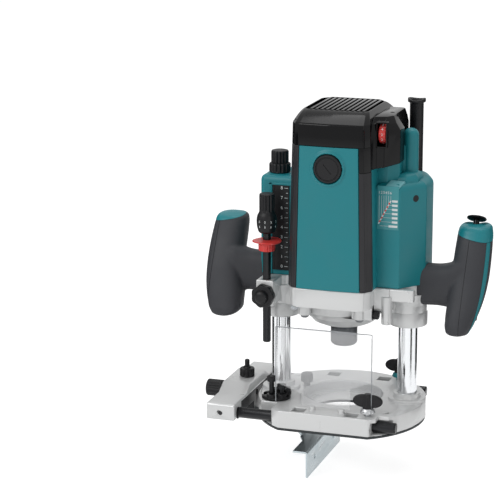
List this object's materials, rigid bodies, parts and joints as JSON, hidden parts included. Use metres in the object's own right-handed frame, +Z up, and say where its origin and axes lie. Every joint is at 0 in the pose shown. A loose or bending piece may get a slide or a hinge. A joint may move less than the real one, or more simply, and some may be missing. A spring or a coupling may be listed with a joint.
{
  "type": "plunge router",
  "caption": "Two-handed plunge router on a round base, with depth rod, turret stop, clear chip shield and a straight guide with an angle fence.",
  "frame": {"origin": "spindle axis on the underside of the sole plate, in the middle of the sole's opening", "axes": "+X along the two handles and the guide rods, towards the speed dial; +Y to the back; +Z up along the spindle"},
  "size_m": [0.2917, 0.1555, 0.3735],
  "materials": {
    "silver_casting": "satin silver paint on a light-alloy casting",
    "black_laminate": "matt phenolic sheet",
    "chrome_steel": "ground and chromed steel",
    "dark_steel": "dark oiled steel",
    "black_steel": "black finished steel",
    "spring_steel": "bare spring wire",
    "zinc_plate": "zinc plated sheet",
    "teal_plastic": "satin moulded plastic",
    "black_plastic": "gloss moulded plastic",
    "matt_black": "matt moulded plastic",
    "grey_rubber": "soft-touch overmoulding",
    "red_plastic": "moulded plastic",
    "grey_plastic": "moulded plastic",
    "clear_plastic": "clear sheet",
    "lamp_lens": "clear moulding",
    "copper": "copper bars",
    "brass": "turned brass",
    "carbon": "pressed carbon",
    "laminated_iron": "stacked sheet",
    "bronze": "sintered bronze",
    "green_board": "circuit board"
  },
  "bodies": {
    "base": {"base_casting": "silver_casting", "sole_plate": "black_laminate", "sole_screws": "dark_steel", "left_post": "chrome_steel", "right_post": "chrome_steel", "limit_rod": "black_steel", "return_springs": "spring_steel", "chip_deflector": "clear_plastic", "ring_screw": "grey_plastic"},
    "turret": {"turret": "matt_black", "turret_screws": "black_steel"},
    "limit_nut": {"limit_knob": "matt_black"},
    "front_wing": {"front_wing_bolt": "matt_black"},
    "rear_wing": {"rear_wing_bolt": "matt_black"},
    "motor_unit": {"motor_bracket": "silver_casting", "sleeve_bushes": "bronze", "bearing_cover": "silver_casting", "motor_housing": "teal_plastic", "corner_strips": "grey_rubber", "top_cover": "black_plastic", "control_cover": "black_plastic", "right_cover": "teal_plastic", "left_cover": "teal_plastic", "scale_plate": "matt_black", "cord_guard": "matt_black", "housing_screws": "dark_steel", "lamp": "lamp_lens", "lower_bearing": "chrome_steel", "upper_bearing": "chrome_steel", "stator": "laminated_iron", "brush_caps": "matt_black", "brush_holders": "brass", "carbon_brushes": "carbon", "control_board": "green_board", "left_handle": "grey_rubber", "left_handle_cap": "teal_plastic", "right_handle": "grey_rubber", "right_handle_cap": "teal_plastic", "trigger_switch": "matt_black"},
    "rotor": {"spindle": "dark_steel", "collet": "dark_steel", "collet_nut": "dark_steel", "armature": "laminated_iron", "commutator": "copper", "fan": "grey_plastic"},
    "depth_stop": {"depth_rod": "black_steel"},
    "pointer": {"depth_pointer": "red_plastic"},
    "fine_setting": {"fine_knob": "matt_black"},
    "depth_clamp": {"depth_clamp_knob": "matt_black"},
    "dial": {"speed_dial": "red_plastic"},
    "trigger_paddle": {"trigger": "matt_black"},
    "lock_off": {"lock_button": "matt_black"},
    "shaft_pin": {"shaft_lock": "matt_black"},
    "plunge_lock": {"plunge_lever": "matt_black"},
    "guide": {"guide_rods": "dark_steel", "guide_holder": "silver_casting"},
    "fence_unit": {"fence_slide": "matt_black", "fence": "zinc_plate"},
    "fence_screw": {"fence_adjuster": "matt_black"},
    "guide_clamp": {"guide_clamp_knob": "matt_black"}
  },
  "joints": [
    {"name": "plunge", "type": "slide", "parent": "base", "child": "motor_unit", "axis": [0, 0, 1], "range_m": [-0.07, 0], "stiffness_N_per_m": 400, "springref_m": 0.28, "deforming": ["return_springs"]},
    {"name": "spindle_spin", "type": "hinge", "parent": "motor_unit", "child": "rotor", "pos_m": [0, 0, 0.15], "axis": [0, 0, 1], "continuous": true},
    {"name": "turret_turn", "type": "hinge", "parent": "base", "child": "turret", "pos_m": [-0.06, -0.036, 0.022], "axis": [0, 0, 1], "continuous": true},
    {"name": "limit_nut_turn", "type": "hinge", "parent": "base", "child": "limit_nut", "pos_m": [-0.068, 0, 0.255], "axis": [0, 0, 1], "continuous": true},
    {"name": "front_wing_turn", "type": "hinge", "parent": "base", "child": "front_wing", "pos_m": [0.0423, -0.062, 0.03], "axis": [0, 0, 1], "range_deg": [-180, 0]},
    {"name": "rear_wing_turn", "type": "hinge", "parent": "base", "child": "rear_wing", "pos_m": [0.0423, 0.062, 0.03], "axis": [0, 0, 1], "range_deg": [-180, 0]},
    {"name": "depth_rod_slide", "type": "slide", "parent": "motor_unit", "child": "depth_stop", "axis": [0, 0, 1], "range_m": [0, 0.038]},
    {"name": "pointer_slide", "type": "slide", "parent": "depth_stop", "child": "pointer", "axis": [0, 0, 1], "range_m": [-0.024, 0]},
    {"name": "fine_setting_turn", "type": "hinge", "parent": "depth_stop", "child": "fine_setting", "pos_m": [-0.07, -0.036, 0.21], "axis": [0, 0, 1], "continuous": true},
    {"name": "depth_clamp_turn", "type": "hinge", "parent": "motor_unit", "child": "depth_clamp", "pos_m": [-0.07, -0.048, 0.1285], "axis": [0, 1, 0], "range_deg": [0, 180]},
    {"name": "speed_dial_turn", "type": "hinge", "parent": "motor_unit", "child": "dial", "pos_m": [0.0478, -0.0325, 0.2965], "axis": [1, 0, 0], "range_deg": [-150, 150]},
    {"name": "trigger_pull", "type": "slide", "parent": "motor_unit", "child": "trigger_paddle", "axis": [0, -0.8754, 0.4833], "range_m": [0, 0.005], "stiffness_N_per_m": 900, "springref_m": -0.006},
    {"name": "lock_off_press", "type": "slide", "parent": "motor_unit", "child": "lock_off", "axis": [0, -0.4833, -0.8754], "range_m": [0, 0.0035], "stiffness_N_per_m": 500, "springref_m": -0.004},
    {"name": "shaft_lock_press", "type": "slide", "parent": "motor_unit", "child": "shaft_pin", "axis": [-1, 0, 0], "range_m": [0, 0.0025], "stiffness_N_per_m": 500, "springref_m": -0.004},
    {"name": "plunge_lock_turn", "type": "hinge", "parent": "motor_unit", "child": "plunge_lock", "pos_m": [-0.066, 0.022, 0.121], "axis": [0, 1, 0], "range_deg": [-50, 0]},
    {"name": "guide_slide", "type": "slide", "parent": "base", "child": "guide", "axis": [1, 0, 0], "range_m": [-0.08, 0.004]},
    {"name": "fence_feed", "type": "slide", "parent": "guide", "child": "fence_unit", "axis": [1, 0, 0], "range_m": [-0.009, 0.003]},
    {"name": "fence_screw_turn", "type": "hinge", "parent": "guide", "child": "fence_screw", "pos_m": [-0.137, 0, 0.012], "axis": [1, 0, 0], "range_deg": [-2200, 780]},
    {"name": "guide_clamp_turn", "type": "hinge", "parent": "guide", "child": "guide_clamp", "pos_m": [-0.103, 0, 0.035], "axis": [0, 0, 1], "range_deg": [-180, 0]}
  ],
  "couplings": [
    {"joint": "fence_screw_turn", "follows": "fence_feed", "rad_per_m": 4188.8}
  ]
}
